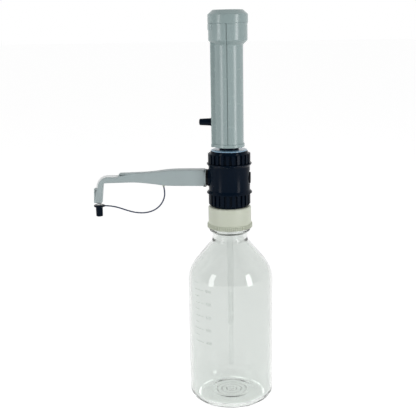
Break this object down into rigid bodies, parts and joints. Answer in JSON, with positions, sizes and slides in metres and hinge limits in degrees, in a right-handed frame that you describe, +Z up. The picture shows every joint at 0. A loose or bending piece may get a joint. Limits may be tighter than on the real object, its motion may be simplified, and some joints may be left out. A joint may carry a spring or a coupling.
{
  "type": "bottle-top dispenser",
  "caption": "Hand-lifted dispenser on a clear glass reagent bottle, with a valve block, a long discharge arm and a sliding volume stop.",
  "frame": {"origin": "centre of the bottle's base, on the plane it stands on", "axes": "+Z up along the bottle and the sleeve, -X out along the discharge arm, -Y to the front"},
  "size_m": [0.2138, 0.101, 0.4629],
  "materials": {
    "bottle_glass": "clear, polished",
    "barrel_glass": "clear, ground bore",
    "cream_plastic": "satin moulded",
    "dark_plastic": "gloss moulded",
    "black_plastic": "matte moulded",
    "grey_sleeve": "satin moulded",
    "arm_grey": "satin moulded",
    "collar_blue": "satin moulded",
    "cap_white": "satin moulded",
    "white_tube": "smooth, flexible",
    "clear_tip": "clear moulded",
    "white_fluoropolymer": "smooth, waxy",
    "seal_rubber": "smooth",
    "ball_glass": "polished",
    "rod_steel": "ground"
  },
  "bodies": {
    "bottle": {"reagent_bottle": "bottle_glass"},
    "gasket": {"adapter_gasket": "seal_rubber"},
    "adapter": {"thread_adapter": "cream_plastic"},
    "union_nut": {"union_nut": "dark_plastic"},
    "block": {"block_seal": "seal_rubber", "block_housing": "dark_plastic", "side_plug": "dark_plastic", "side_plug_seal": "seal_rubber", "suction_valve_body": "white_fluoropolymer", "suction_valve_cage": "white_fluoropolymer", "discharge_valve_body": "white_fluoropolymer", "suction_tube_outer": "white_tube", "barrel_seal": "seal_rubber", "glass_barrel": "barrel_glass", "barrel_collar": "collar_blue", "guide_collar": "collar_blue", "arm_socket_ring": "black_plastic", "arm_collar": "arm_grey", "arm_cover": "arm_grey", "arm_latch": "black_plastic", "discharge_tube": "white_tube", "discharge_nozzle": "clear_tip", "tether_peg": "cap_white", "cap_tether": "black_plastic"},
    "barrel_nut": {"barrel_nut": "dark_plastic", "barrel_nut_ring": "collar_blue"},
    "sleeve": {"sleeve_foot_ring": "grey_sleeve", "sleeve_left_shell": "grey_sleeve", "sleeve_right_shell": "grey_sleeve", "rod_carrier": "white_fluoropolymer", "rod_nut": "rod_steel", "piston_rod": "rod_steel", "piston_head": "white_fluoropolymer", "piston_seal": "seal_rubber", "top_cap": "grey_sleeve"},
    "stop_slider": {"stop_shoe": "black_plastic", "stop_washer": "black_plastic"},
    "clamp_knob": {"clamp_knob": "black_plastic", "knob_stud": "rod_steel"},
    "suction_ball": {"suction_ball": "ball_glass"},
    "discharge_ball": {"discharge_ball": "ball_glass"},
    "suction_tube_inner": {"suction_tube_inner": "white_tube"},
    "nozzle_cap": {"nozzle_cap": "black_plastic"}
  },
  "joints": [
    {"name": "adapter_lift", "type": "slide", "parent": "bottle", "child": "gasket", "axis": [0, 0, 1], "range_m": [0, 0.24]},
    {"name": "adapter_turn", "type": "hinge", "parent": "gasket", "child": "adapter", "pos_m": [0, 0, 0.23], "axis": [0, 0, 1], "continuous": true},
    {"name": "union_turn", "type": "hinge", "parent": "adapter", "child": "union_nut", "pos_m": [0, 0, 0.246], "axis": [0, 0, 1], "continuous": true},
    {"name": "block_swivel", "type": "hinge", "parent": "adapter", "child": "block", "pos_m": [0, 0, 0.249], "axis": [0, 0, 1], "continuous": true},
    {"name": "barrel_nut_turn", "type": "hinge", "parent": "block", "child": "barrel_nut", "pos_m": [0, 0, 0.297], "axis": [0, 0, 1], "continuous": true},
    {"name": "sleeve_lift", "type": "slide", "parent": "block", "child": "sleeve", "axis": [0, 0, 1], "range_m": [0, 0.0784]},
    {"name": "stop_slide", "type": "slide", "parent": "sleeve", "child": "stop_slider", "axis": [0, 0, 1], "range_m": [-0.0015, 0.0784]},
    {"name": "knob_turn", "type": "hinge", "parent": "stop_slider", "child": "clamp_knob", "pos_m": [-0.02, 0, 0.3373], "axis": [1, 0, 0], "continuous": true},
    {"name": "suction_ball_lift", "type": "slide", "parent": "block", "child": "suction_ball", "axis": [0, 0, 1], "range_m": [0, 0.0015]},
    {"name": "discharge_ball_lift", "type": "slide", "parent": "block", "child": "discharge_ball", "axis": [0, 0, 1], "range_m": [0, 0.0012]},
    {"name": "tube_slide", "type": "slide", "parent": "block", "child": "suction_tube_inner", "axis": [0, 0, 1], "range_m": [-0.02, 0.055]},
    {"name": "cap_pull", "type": "slide", "parent": "block", "child": "nozzle_cap", "axis": [0, 0, -1], "range_m": [0, 0.025]}
  ]
}
